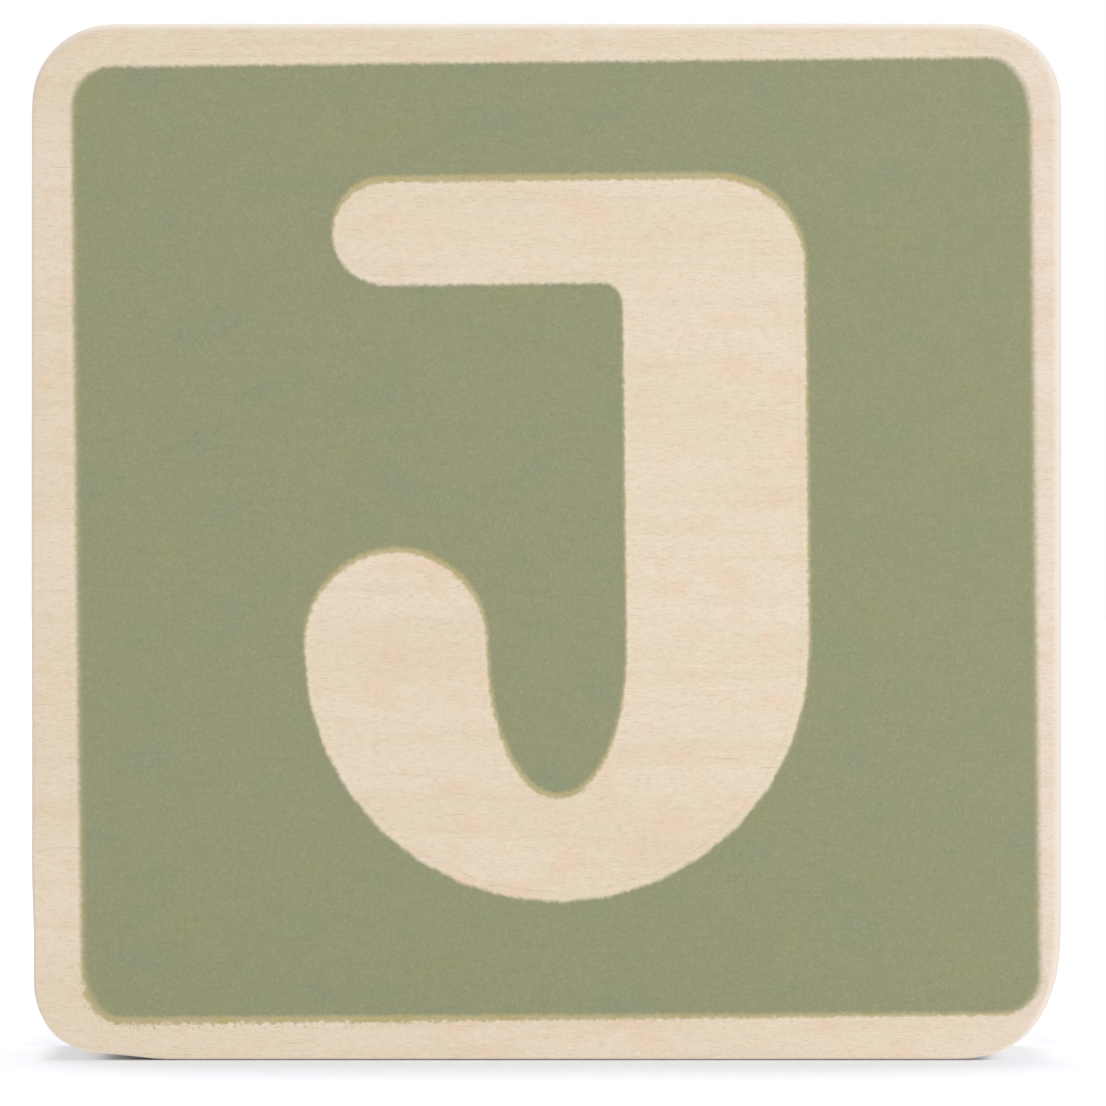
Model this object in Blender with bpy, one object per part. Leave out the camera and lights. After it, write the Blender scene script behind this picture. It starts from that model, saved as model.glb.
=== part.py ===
"""Letter train car: a square laminated wooden tile that stands on its edge.

Three plywood panels are glued face to face. Bar magnets sit in pockets of the middle panel, close to
the left and right edges, and couple the car to its neighbours. The front panel is printed in two ink
passes that leave a border and a capital letter in bare wood.

Units are metres and +Z is up. The printed face looks along -Y. The origin is on the surface that the
car stands on, below the middle of its box.
"""

import math

import bmesh
import bpy
from mathutils import Matrix

MM = 0.001

# The tile: its outline and the three panels it is laminated from
TILE_WIDTH = 80.0 * MM
TILE_HEIGHT = 80.5 * MM
PANEL_THICKNESS = 6.0 * MM
GLUE_LINE = 0.1 * MM
CORNER_RADIUS = 6.2 * MM
ROUNDER_CORNER_RADIUS = 7.7 * MM  # the lower right corner is sanded further than the others
ARRIS_RADIUS = 0.8 * MM  # the sanded round-over along the front and back outlines
ARRIS_STEPS = 4
ARC_STEPS = 16  # straight steps in each arc of an outline

# The coupling magnets and their pockets in the core panel
MAGNET_WIDTH = 3.0 * MM  # along X, towards the neighbouring car
MAGNET_DEPTH = 5.0 * MM
MAGNET_LENGTH = 10.0 * MM
MAGNET_ROUNDING = 0.3 * MM
POCKET_CLEARANCE = 0.3 * MM
POCKET_CORNER_RADIUS = 0.8 * MM
EDGE_WALL = 2.0 * MM  # wood left between a pocket and the tile's side edge
MAGNET_SPACING = 40.0 * MM  # between the upper and the lower magnet

# The print: a field with the letter left open, turned and shifted a little as it was printed
FIELD_WIDTH = 74.3 * MM
FIELD_HEIGHT = 74.0 * MM
FIELD_CORNER_RADIUS = 2.9 * MM
FIELD_SHIFT_X = 0.74 * MM
FIELD_SHIFT_Z = 0.23 * MM
FIELD_TURN = math.radians(0.61)  # anticlockwise, seen from the front
INK_THICKNESS = 0.06 * MM
INK_GAP = 0.04 * MM
OCHRE_SHIFT_X = -0.06 * MM  # the first pass lies a little left of the second, and lower
OCHRE_SHIFT_Z = -0.43 * MM

# The letter J: straight strokes with round ends, the down strokes heavier than the cross strokes
LETTER_WIDTH = 39.4 * MM
LETTER_HEIGHT = 56.4 * MM
STEM_WIDTH = 14.4 * MM  # the stem, and the hook's end opposite it
BAR_HEIGHT = 8.4 * MM  # the top bar, and the bottom of the hook
BAR_INSET = 2.5 * MM  # how far the top bar stops short of the letter's left side
SHOULDER_RADIUS = 7.0 * MM  # where the top bar turns down into the stem
HOOK_RISE = 0.8 * MM  # straight run between the hook's curve and its round end
INNER_CORNER_RADIUS = 1.5 * MM

INK_LAYER = INK_GAP + INK_THICKNESS
BOARD_THICKNESS = 3 * PANEL_THICKNESS + 2 * GLUE_LINE
BOARD_FRONT_Y = INK_LAYER - BOARD_THICKNESS / 2  # keeps y = 0 in the middle of the whole car

WOOD = "#E6D5BB"
CORE_WOOD = "#DFCBAE"
OCHRE = "#B9A96F"
SAGE_GREEN = "#979A7A"
NICKEL = "#C9C8C4"


def clear_scene():
    """Removes every object, so that the script can run again in the same file."""
    for obj in list(bpy.data.objects):
        bpy.data.objects.remove(obj, do_unlink=True)


def linear(hex_colour):
    """The linear RGBA value of an sRGB hex colour."""
    channels = [int(hex_colour[i : i + 2], 16) / 255 for i in (1, 3, 5)]
    return [c / 12.92 if c <= 0.04045 else ((c + 0.055) / 1.055) ** 2.4 for c in channels] + [1.0]


def material(name, hex_colour, roughness, metallic=0.0):
    """A Principled BSDF material of one colour."""
    made = bpy.data.materials.new(name)
    made.use_nodes = True
    shader = made.node_tree.nodes["Principled BSDF"]
    shader.inputs["Base Color"].default_value = linear(hex_colour)
    shader.inputs["Roughness"].default_value = roughness
    shader.inputs["Metallic"].default_value = metallic
    return made


def arc(x, z, radius, start, end, height=None):
    """Points of an arc about (x, z), from start to end in degrees, anticlockwise from +X.

    height is the upright radius where the arc is part of an ellipse.
    """
    height = height or radius
    angles = [math.radians(start + (end - start) * i / ARC_STEPS) for i in range(ARC_STEPS + 1)]
    return [(x + radius * math.cos(a), z + height * math.sin(a)) for a in angles]


def rounded_rectangle(width, height, radius, lower_right=None, centre=(0.0, 0.0)):
    """The outline of a rectangle with round corners; lower_right gives that corner its own radius."""
    lower_right = lower_right or radius
    cx, cz = centre
    left, right = cx - width / 2, cx + width / 2
    low, high = cz - height / 2, cz + height / 2
    return (
        arc(right - lower_right, low + lower_right, lower_right, -90, 0)
        + arc(right - radius, high - radius, radius, 0, 90)
        + arc(left + radius, high - radius, radius, 90, 180)
        + arc(left + radius, low + radius, radius, 180, 270)
    )


def letter_outline():
    """The outline of the letter J about its own middle, clockwise from the top bar's left end."""
    outer = LETTER_WIDTH / 2
    inner = outer - STEM_WIDTH
    top = LETTER_HEIGHT / 2
    bar_end = BAR_HEIGHT / 2
    hook_z = outer - top  # the hook's outside is a half circle
    hook_end = STEM_WIDTH / 2
    shoulder = SHOULDER_RADIUS
    fillet = INNER_CORNER_RADIUS
    return (
        arc(BAR_INSET + bar_end - outer, top - bar_end, bar_end, 270, 90)
        + arc(outer - shoulder, top - shoulder, shoulder, 90, 0)
        + arc(0.0, hook_z, outer, 0, -180)
        + arc(hook_end - outer, hook_z + HOOK_RISE, hook_end, 180, 0)
        + arc(0.0, hook_z, inner, 180, 360, height=outer - BAR_HEIGHT)
        + arc(inner - fillet, top - BAR_HEIGHT - fillet, fillet, 0, 90)
    )


def pocket_outline(x, z):
    """The outline of one magnet's pocket in the core panel."""
    return rounded_rectangle(
        MAGNET_WIDTH + 2 * POCKET_CLEARANCE,
        MAGNET_LENGTH + 2 * POCKET_CLEARANCE,
        POCKET_CORNER_RADIUS,
        centre=(x, z),
    )


def plate(outline, openings, thickness):
    """A flat plate about y = 0 as a bmesh; each opening is cut right through it."""
    bm = bmesh.new()
    for loop in [outline, *openings]:
        verts = [bm.verts.new((x, -thickness / 2, z)) for x, z in loop]
        for start, end in zip(verts, verts[1:] + verts[:1]):
            bm.edges.new((start, end))
    if openings:
        bmesh.ops.triangle_fill(bm, use_beauty=True, edges=bm.edges[:])
    else:
        bm.faces.new(bm.verts[:])
    grown = bmesh.ops.extrude_face_region(bm, geom=bm.faces[:])["geom"]
    back = [item for item in grown if isinstance(item, bmesh.types.BMVert)]
    bmesh.ops.translate(bm, vec=(0.0, thickness, 0.0), verts=back)
    bmesh.ops.recalc_face_normals(bm, faces=bm.faces[:])
    return bm


def round_arris(bm, y):
    """Rounds over the outline of a plate's face at this y."""
    edges = [
        edge
        for edge in bm.edges
        if all(math.isclose(v.co.y, y, abs_tol=1e-7) for v in edge.verts)
    ]
    bmesh.ops.bevel(
        bm,
        geom=edges,
        offset=ARRIS_RADIUS,
        segments=ARRIS_STEPS,
        profile=0.5,
        affect="EDGES",
    )


def add_object(name, bm, finish, parent, location, turn=0.0):
    """Turns a bmesh into a named object under the car's empty; turn is anticlockwise from the front."""
    mesh = bpy.data.meshes.new(name)
    bm.to_mesh(mesh)
    bm.free()
    mesh.shade_smooth()
    mesh.set_sharp_from_angle(angle=math.radians(30))
    mesh.materials.append(finish)
    obj = bpy.data.objects.new(name, mesh)
    bpy.context.scene.collection.objects.link(obj)
    obj.parent = parent
    obj.location = location
    obj.rotation_euler = (0.0, -turn, 0.0)
    return obj


def panel_y(index):
    """The middle of a panel's thickness; panel 0 is the front one and panel 2 the back one."""
    return BOARD_FRONT_Y + PANEL_THICKNESS / 2 + index * (PANEL_THICKNESS + GLUE_LINE)


def magnet_places():
    """The name, x and z of each magnet, z counted from the tile's middle."""
    x = TILE_WIDTH / 2 - EDGE_WALL - POCKET_CLEARANCE - MAGNET_WIDTH / 2
    z = MAGNET_SPACING / 2
    return [
        (f"magnet_{side}_{level}", x * x_sign, z * z_sign)
        for side, x_sign in (("left", -1), ("right", 1))
        for level, z_sign in (("upper", 1), ("lower", -1))
    ]


def build_panels(car):
    """The front, core and back panels, from the printed side to the plain one."""
    outline = rounded_rectangle(TILE_WIDTH, TILE_HEIGHT, CORNER_RADIUS, ROUNDER_CORNER_RADIUS)
    pockets = [pocket_outline(x, z) for _, x, z in magnet_places()]
    face_wood = material("basswood_face", WOOD, 0.6)
    core_wood = material("basswood_core", CORE_WOOD, 0.7)

    front = plate(outline, [], PANEL_THICKNESS)
    round_arris(front, -PANEL_THICKNESS / 2)
    core = plate(outline, pockets, PANEL_THICKNESS)
    back = plate(outline, [], PANEL_THICKNESS)
    round_arris(back, PANEL_THICKNESS / 2)

    middle_z = TILE_HEIGHT / 2
    add_object("front_panel", front, face_wood, car, (0.0, panel_y(0), middle_z))
    add_object("core_panel", core, core_wood, car, (0.0, panel_y(1), middle_z))
    add_object("back_panel", back, face_wood, car, (0.0, panel_y(2), middle_z))


def build_magnets(car):
    """Four bar magnets, one in the middle of each pocket."""
    nickel = material("nickel_plate", NICKEL, 0.25, metallic=1.0)
    for name, x, z in magnet_places():
        bm = bmesh.new()
        size = Matrix.Diagonal((MAGNET_WIDTH, MAGNET_DEPTH, MAGNET_LENGTH, 1.0))
        bmesh.ops.create_cube(bm, size=1.0, matrix=size)
        bmesh.ops.bevel(
            bm,
            geom=bm.edges[:],
            offset=MAGNET_ROUNDING,
            segments=2,
            profile=0.5,
            affect="EDGES",
        )
        add_object(name, bm, nickel, car, (x, panel_y(1), TILE_HEIGHT / 2 + z))


def build_print(car):
    """The two ink passes on the front panel; both have the same field and the same open letter."""
    field = rounded_rectangle(FIELD_WIDTH, FIELD_HEIGHT, FIELD_CORNER_RADIUS)
    letter = letter_outline()
    passes = (
        ("ochre_ink_pass", OCHRE, OCHRE_SHIFT_X, OCHRE_SHIFT_Z),
        ("green_ink_pass", SAGE_GREEN, 0.0, 0.0),
    )
    for order, (name, colour, shift_x, shift_z) in enumerate(passes, start=1):
        layer_front = BOARD_FRONT_Y - order * INK_LAYER
        add_object(
            name,
            plate(field, [letter], INK_THICKNESS),
            material(name, colour, 0.75),
            car,
            (
                FIELD_SHIFT_X + shift_x,
                layer_front + INK_THICKNESS / 2,
                TILE_HEIGHT / 2 + FIELD_SHIFT_Z + shift_z,
            ),
            turn=FIELD_TURN,
        )


def main():
    """Builds the whole car under one empty at the origin."""
    clear_scene()
    car = bpy.data.objects.new("letter_train_car", None)
    bpy.context.scene.collection.objects.link(car)
    build_panels(car)
    build_magnets(car)
    build_print(car)


main()
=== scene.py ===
"""Looks of the letter train car: a laminated basswood tile, screen printed on its front.

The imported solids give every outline, level and place. Geometry Nodes turn those outlines into the
finished panels, glue lines and ink films. Every material is procedural and reads Object coordinates,
so that a pattern runs through a panel as grain runs through wood.

Units are metres and +Z is up. The printed face looks along -Y. Shapes are drawn flat, with the car's
x and z as the drawing's x and y and its front towards the drawing's +Z, and then stood upright.
"""

import logging
import math
from collections.abc import Sequence
from dataclasses import dataclass
from enum import Enum
from typing import Any

import bmesh
import bpy
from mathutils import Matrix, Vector

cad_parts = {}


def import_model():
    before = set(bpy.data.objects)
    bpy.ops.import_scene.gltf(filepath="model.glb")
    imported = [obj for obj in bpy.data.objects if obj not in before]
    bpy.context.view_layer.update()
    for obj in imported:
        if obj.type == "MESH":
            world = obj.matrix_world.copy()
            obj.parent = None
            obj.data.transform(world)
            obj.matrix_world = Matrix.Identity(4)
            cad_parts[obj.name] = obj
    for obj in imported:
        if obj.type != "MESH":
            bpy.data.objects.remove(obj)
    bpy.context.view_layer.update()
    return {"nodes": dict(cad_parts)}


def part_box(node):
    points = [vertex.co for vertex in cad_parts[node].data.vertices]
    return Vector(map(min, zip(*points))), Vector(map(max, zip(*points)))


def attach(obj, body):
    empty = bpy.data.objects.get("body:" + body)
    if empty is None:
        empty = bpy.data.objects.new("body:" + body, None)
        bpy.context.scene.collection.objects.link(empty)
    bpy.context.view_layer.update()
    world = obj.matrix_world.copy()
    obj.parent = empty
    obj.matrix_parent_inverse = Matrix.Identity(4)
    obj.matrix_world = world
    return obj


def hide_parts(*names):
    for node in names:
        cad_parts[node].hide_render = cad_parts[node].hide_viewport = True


MM = 0.001
WELD = 0.001 * MM  # points closer than this are one point
ARRIS_STEPS = 9  # facets across a rounded arris
FACE_ON = 0.9999  # faces turned this far to the front or the back are shaded flat
SHARP = math.radians(40.0)  # edges sharper than this stay sharp in the shading
FRONTWARDS = (0.0, 0.0, 1.0)  # in a drawing
PATTERN_SHIFT = (7.3, 3.1, 5.7)  # between the noises of neighbouring patterns, so that they differ
BODY = "root"
LOG = logging.getLogger("letter_train_car")

Tree = bpy.types.NodeTree
Socket = bpy.types.NodeSocket
Sockets = bpy.types.NodeInputs | bpy.types.NodeOutputs
Material = bpy.types.Material
Piece = bpy.types.Object
Outline = list[tuple[float, float]]
Colour = tuple[float, float, float, float]
Span = tuple[float, float]  # where a change starts, and where it is complete
Zone = tuple[tuple[str, float, float], ...]  # for each side an axis, a place outside it and one inside


class Grain(Enum):
    """The way that the fibres of a ply run."""

    ACROSS = 0  # from side to side, along X
    UPRIGHT = 1  # up and down, along Z


def hex_to_linear(colour: str) -> Colour:
    """Turns an sRGB hex colour into the linear RGBA value that shaders take.

    Args:
        colour: a colour such as "#E6D5BB".

    Returns:
        Red, green, blue and alpha, linear.
    """
    channels = [int(colour[i : i + 2], 16) / 255 for i in (1, 3, 5)]
    # the curve of the sRGB standard
    red, green, blue = (
        c / 12.92 if c <= 0.04045 else ((c + 0.055) / 1.055) ** 2.4 for c in channels
    )
    return red, green, blue, 1.0


def add_node(
    tree: Tree,
    kind: str,
    inputs: dict[str | int, Any] | None = None,
    output: str | None = None,
    **settings: Any,
) -> Socket | None:
    """Adds one node with its settings and links.

    Args:
        tree: the tree that gets the node.
        kind: the node's type name.
        inputs: for each input, by name or number, a value, a socket to link or a list of sockets.
        output: the name of the output to return.
        settings: the node's own properties.

    Returns:
        The named output, or else the first output in use, or None on a node with no outputs.
    """
    node = tree.nodes.new(kind)
    for name, value in settings.items():
        setattr(node, name, value)
    for key, value in (inputs or {}).items():
        if isinstance(key, int):
            socket = node.inputs[key]
        else:
            socket = next(s for s in node.inputs if s.enabled and s.name == key)
        for source in value if isinstance(value, list) else [value]:
            if isinstance(source, Socket):
                tree.links.new(source, socket)
            else:
                socket.default_value = source
    return next((s for s in node.outputs if s.enabled and output in (None, s.name)), None)


def maths(tree: Tree, operation: str, *values: Any, **settings: Any) -> Socket:
    """Adds a Math node on these values."""
    inputs = dict(enumerate(values))
    return add_node(tree, "ShaderNodeMath", inputs, operation=operation, **settings)


def vectors(tree: Tree, operation: str, *values: Any) -> Socket:
    """Adds a Vector Math node on these values and gives its vector, or else its number."""
    output = "Value" if operation in ("DISTANCE", "DOT_PRODUCT", "LENGTH") else "Vector"
    inputs = dict(enumerate(values))
    return add_node(tree, "ShaderNodeVectorMath", inputs, output, operation=operation)


def ramp(
    tree: Tree,
    value: Socket,
    low: Any,
    high: Any,
    start: Any = 0.0,
    end: Any = 1.0,
    smooth: bool = False,
) -> Socket:
    """Adds a Map Range node.

    Args:
        tree: the tree that gets the node.
        value: what is mapped.
        low: the value at the ramp's start.
        high: the value at its end.
        start: the result at its start and before it.
        end: the result at its end and past it.
        smooth: whether both ends are eased.

    Returns:
        The result.
    """
    ends = {"From Min": low, "From Max": high, "To Min": start, "To Max": end}
    shape = "SMOOTHSTEP" if smooth else "LINEAR"
    return add_node(tree, "ShaderNodeMapRange", {"Value": value, **ends}, interpolation_type=shape)


def blend(tree: Tree, share: Socket, under: Any, over: Any, **settings: Any) -> Socket:
    """Mixes a share of one colour over another, each a socket, a linear colour or a hex colour."""
    pair = [hex_to_linear(c) if isinstance(c, str) else c for c in (under, over)]
    inputs = {"Factor": share, "A": pair[0], "B": pair[1]}
    return add_node(tree, "ShaderNodeMix", inputs, data_type="RGBA", **settings)


def object_place(tree: Tree) -> Socket:
    """Gives the place on the object, in metres."""
    return add_node(tree, "ShaderNodeTexCoord", output="Object")


def axes_of(tree: Tree, vector: Socket) -> Sockets:
    """Splits a vector into its X, Y and Z."""
    return add_node(tree, "ShaderNodeSeparateXYZ", {"Vector": vector}).node.outputs


def noise_at(tree: Tree, place: Socket, size: float, detail: float = 1.0) -> Socket:
    """Gives noise at a place, with features of the given size."""
    return add_node(tree, "ShaderNodeTexNoise", {"Vector": place, "Scale": 1 / size, "Detail": detail})


def zone_share(
    tree: Tree, axes: Sockets | dict[str, Socket], zone: Zone, full: float = 1.0, smooth: bool = False
) -> Socket:
    """Gives a share that is full within a zone and 0 outside it.

    Args:
        tree: the tree that gets the nodes.
        axes: the place along each axis.
        zone: the sides of the zone.
        full: the share within it.
        smooth: whether its sides are eased.

    Returns:
        The share.
    """
    share: Any = full
    for axis, outside, inside in zone:
        share = ramp(tree, axes[axis], outside, inside, end=share, smooth=smooth)
    return share


def stepped(tree: Tree, value: Socket, steps: Sequence[Span]) -> Socket:
    """Gives a number that changes in steps.

    Args:
        tree: the tree that gets the node.
        value: a value from 0 to 1.
        steps: for each step, the value from which it holds and its number, the first one from 0.

    Returns:
        The number.
    """
    result = add_node(tree, "ShaderNodeValToRGB", {"Fac": value})
    band = result.node.color_ramp
    band.interpolation = "CONSTANT"
    for start, number in steps:
        stop = band.elements.new(start) if start else band.elements[0]
        stop.color = (number, number, number, 1.0)
    band.elements[-1].color = (number, number, number, 1.0)
    return result


def front_outlines(node: Piece) -> list[Outline]:
    """Reads the outlines of the front face of a flat CAD node.

    Args:
        node: a plate that lies across Y.

    Returns:
        Closed outlines in x and z, the outer one first, each with the material on its left as seen
        from the front.
    """
    bm = bmesh.new()
    bm.from_mesh(node.data)
    bmesh.ops.remove_doubles(bm, verts=bm.verts[:], dist=WELD)
    front = min(vert.co.y for vert in bm.verts)
    faces = [f for f in bm.faces if all(vert.co.y - front < WELD for vert in f.verts)]
    flush = set(faces)
    following = {}
    for face in faces:
        for corner in face.loops:
            if sum(other in flush for other in corner.edge.link_faces) == 1:
                following[corner.vert] = corner.link_loop_next.vert
    outlines = []
    while following:
        vert = next(iter(following))
        outline = []
        while vert in following:
            outline.append((vert.co.x, vert.co.z))
            vert = following.pop(vert)
        outlines.append(outline)
    bm.free()
    return sorted(outlines, key=min)


@dataclass(frozen=True)
class WornSpot:
    """A spot where an outline lies further in: rubbed off wood, or ink that didn't reach."""

    name: str
    right: float  # place from the lower left corner of the box round the outline
    up: float
    depth: float
    reach: float

    def inputs(self) -> dict[str, str]:
        """Names the shape tree's inputs for this spot, with their socket types."""
        return {
            f"{self.name} Place": "NodeSocketVector",
            f"{self.name} Depth": "NodeSocketFloat",
            f"{self.name} Reach": "NodeSocketFloat",
        }

    def values(self, corner: Vector) -> dict[str, Any]:
        """Gives the values of these inputs for a box with this lower left corner."""
        return {
            f"{self.name} Place": (corner.x + self.right, corner.z + self.up, 0.0),
            f"{self.name} Depth": self.depth,
            f"{self.name} Reach": self.reach,
        }

    def add_to(self, tree: Tree, given: Sockets, inset: Socket | float) -> Socket:
        """Adds the spot's depth to how far an outline lies in.

        Args:
            tree: the shape tree.
            given: its inputs.
            inset: how far the outline lies in without the spot.

        Returns:
            How far it lies in with the spot.
        """
        middle, depth, reach = (given[name] for name in self.inputs())
        place = add_node(tree, "GeometryNodeInputPosition")
        away = vectors(tree, "DISTANCE", place, middle)
        return maths(tree, "ADD", inset, ramp(tree, away, reach, 0.0, end=depth, smooth=True))


def new_shape_tree(name: str, sizes: dict[str, str], spots: Sequence[WornSpot]) -> tuple[Tree, Sockets]:
    """Starts a Geometry Nodes tree that turns outlines into a finished sheet.

    Args:
        name: the tree's name.
        sizes: the socket type of each named input, besides those that every sheet has.
        spots: the worn spots of its outline.

    Returns:
        The tree and the outputs of its input node, by name.
    """
    tree = bpy.data.node_groups.new(name, "GeometryNodeTree")
    sockets = {
        "Outline": "NodeSocketGeometry",
        "Point Spacing": "NodeSocketFloat",
        "Smoothing": "NodeSocketInt",
        "Front": "NodeSocketFloat",
        "Back": "NodeSocketFloat",
        **sizes,
        "Finish": "NodeSocketMaterial",
    }
    for spot in spots:
        sockets.update(spot.inputs())
    for label, kind in sockets.items():
        tree.interface.new_socket(label, in_out="INPUT", socket_type=kind)
    tree.interface.new_socket("Shape", in_out="OUTPUT", socket_type="NodeSocketGeometry")
    return tree, add_node(tree, "NodeGroupInput").node.outputs


def even_outline(tree: Tree, given: Sockets) -> tuple[Socket, Socket]:
    """Adds the nodes that turn a faceted outline into a smooth curve of evenly spaced points.

    Args:
        tree: the shape tree.
        given: its inputs, with "Point Spacing" and "Smoothing" among them.

    Returns:
        The curve, and the outward direction at each of its points.
    """
    curve = add_node(tree, "GeometryNodeMeshToCurve", {"Mesh": given["Outline"]})
    even = add_node(
        tree,
        "GeometryNodeResampleCurve",
        {"Curve": curve, "Length": given["Point Spacing"]},
        mode="LENGTH",
    )
    place = add_node(tree, "GeometryNodeInputPosition")
    eased = add_node(
        tree,
        "GeometryNodeBlurAttribute",
        {"Value": place, "Iterations": given["Smoothing"]},
        data_type="FLOAT_VECTOR",
    )
    smooth = add_node(tree, "GeometryNodeSetPosition", {"Geometry": even, "Position": eased})
    along = add_node(tree, "GeometryNodeInputTangent")
    outward = vectors(tree, "CROSS_PRODUCT", along, FRONTWARDS)
    return smooth, outward


def shift_outline(tree: Tree, curve: Socket, outward: Socket, reach: Socket | float) -> Socket:
    """Adds the nodes that move an outline outwards, or inwards by a negative reach.

    Args:
        tree: the shape tree.
        curve: the outline.
        outward: the outward direction at each of its points.
        reach: how far it moves.

    Returns:
        The moved outline.
    """
    offset = add_node(tree, "ShaderNodeVectorMath", {0: outward, "Scale": reach}, operation="SCALE")
    return add_node(tree, "GeometryNodeSetPosition", {"Geometry": curve, "Offset": offset})


def thicken(tree: Tree, given: Sockets, flat: Socket) -> Socket:
    """Adds the nodes that give a flat shape the thickness between two levels.

    Args:
        tree: the shape tree.
        given: its inputs, with the levels "Front" and "Back" among them.
        flat: the shape, its faces towards the front.

    Returns:
        A closed sheet that lies in the drawing plane, its faces pointing outwards.
    """
    level = add_node(tree, "ShaderNodeCombineXYZ", {"Z": given["Back"]})
    low = add_node(tree, "GeometryNodeTransform", {"Geometry": flat, "Translation": level})
    depth = maths(tree, "SUBTRACT", given["Front"], given["Back"])
    raised = add_node(
        tree,
        "GeometryNodeExtrudeMesh",
        {"Mesh": low, "Offset": FRONTWARDS, "Offset Scale": depth, "Individual": False},
        mode="FACES",
    )
    under = add_node(tree, "GeometryNodeFlipFaces", {"Mesh": low})
    joined = add_node(tree, "GeometryNodeJoinGeometry", {"Geometry": [raised, under]})
    return add_node(tree, "GeometryNodeMergeByDistance", {"Geometry": joined, "Distance": WELD})


def store(tree: Tree, shape: Socket, name: Socket | str, value: Socket, domain: str = "POINT") -> Socket:
    """Keeps a number on a shape's points, or on its edges, as a named attribute."""
    kept = {"Geometry": shape, "Name": name, "Value": value}
    return add_node(tree, "GeometryNodeStoreNamedAttribute", kept, data_type="FLOAT", domain=domain)


def end_shape_tree(tree: Tree, given: Sockets, shape: Socket) -> None:
    """Stands a drawn shape upright, gives it its finish and ends the tree.

    Args:
        tree: the shape tree.
        given: its inputs, with "Finish" among them.
        shape: the shape in the drawing plane.
    """
    upright = add_node(
        tree, "GeometryNodeTransform", {"Geometry": shape, "Rotation": (math.pi / 2, 0.0, 0.0)}
    )
    real = add_node(tree, "GeometryNodeRealizeInstances", {"Geometry": upright})
    finished = add_node(tree, "GeometryNodeSetMaterial", {"Geometry": real, "Material": given["Finish"]})
    add_node(tree, "NodeGroupOutput", {"Shape": finished})


def make_piece(
    name: str, outlines: Sequence[Outline], tree: Tree, values: dict[str, Any], arris: float = 0.0
) -> Piece:
    """Runs a shape tree on outlines and keeps the result as a plain mesh.

    Args:
        name: the piece's name.
        outlines: closed outlines in x and z.
        tree: the Geometry Nodes tree.
        values: a value for each of the tree's named inputs.
        arris: the radius that edges with a bevel weight are rounded to, or 0.

    Returns:
        The finished object at the origin, with its place in its mesh.
    """
    wire = bpy.data.meshes.new(name)
    points = [(x, z, 0.0) for outline in outlines for x, z in outline]
    edges = []
    for outline in outlines:
        first = len(edges)
        count = len(outline)
        edges += [(first + i, first + (i + 1) % count) for i in range(count)]
    wire.from_pydata(points, edges, [])
    piece = bpy.data.objects.new(name, wire)
    bpy.context.scene.collection.objects.link(piece)

    nodes = piece.modifiers.new("shape", "NODES")
    nodes.node_group = tree
    for item in tree.interface.items_tree:
        if item.name in values:
            nodes[item.identifier] = values[item.name]
    if arris:
        bevel = piece.modifiers.new("arris", "BEVEL")
        bevel.limit_method = "WEIGHT"
        bevel.width = arris
        bevel.segments = ARRIS_STEPS
        bevel.use_clamp_overlap = False
    depsgraph = bpy.context.evaluated_depsgraph_get()
    mesh = bpy.data.meshes.new_from_object(piece.evaluated_get(depsgraph), depsgraph=depsgraph)
    piece.modifiers.clear()
    piece.data = mesh
    bpy.data.meshes.remove(wire)
    mesh.name = name
    for face in mesh.polygons:
        face.use_smooth = abs(face.normal.y) < FACE_ON
    mesh.set_sharp_from_angle(angle=SHARP)
    return piece


def new_material(name: str) -> tuple[Material, Sockets]:
    """Starts a node material.

    Args:
        name: the material's name.

    Returns:
        The material and the inputs of its Principled BSDF.
    """
    made = bpy.data.materials.new(name)
    made.use_nodes = True
    return made, made.node_tree.nodes["Principled BSDF"].inputs


@dataclass(frozen=True)
class Pattern:
    """A noise pattern laid over a colour.

    The pattern starts to show where its noise passes low, and is at its strength where it passes high.
    """

    length: float  # size along the grain
    width: float  # size across the grain
    colour: str
    strength: float
    low: float
    high: float
    detail: float = 2.0
    relief: float = 0.0  # height of the pattern over the surface, negative for a dent


def lay_patterns(
    tree: Tree, place: Socket, base: str, patterns: Sequence[Pattern], upright: Socket | None = None
) -> tuple[Socket, Socket | float]:
    """Lays noise patterns over a base colour, one over the other.

    Args:
        tree: the material's tree.
        place: the place on the car, in metres.
        base: the colour under all patterns.
        patterns: the patterns, from the lowest to the top one.
        upright: 1 where the grain runs along Z and 0 where it runs along X; None for X throughout.

    Returns:
        The colour, and the height of the relief in metres.
    """
    colour: Any = hex_to_linear(base)
    height: Any = 0.0
    for order, pattern in enumerate(patterns, start=1):
        along, over = 1 / pattern.length, 1 / pattern.width
        shift = tuple(step * order for step in PATTERN_SHIFT)
        scaled = {"Vector": place, "Location": shift, "Scale": (along, over, over)}
        grain = add_node(tree, "ShaderNodeMapping", scaled)
        if upright is not None:
            turned = add_node(tree, "ShaderNodeMapping", {**scaled, "Scale": (over, over, along)})
            ways = {"Factor": upright, "A": grain, "B": turned}
            grain = add_node(tree, "ShaderNodeMix", ways, data_type="VECTOR")
        noise = noise_at(tree, grain, 1.0, pattern.detail)
        shown = ramp(tree, noise, pattern.low, pattern.high, smooth=True)
        share = maths(tree, "MULTIPLY", shown, pattern.strength)
        colour = blend(tree, share, colour, pattern.colour)
        if pattern.relief:
            height = maths(tree, "MULTIPLY_ADD", shown, pattern.relief, height)
    return colour, height


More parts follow.
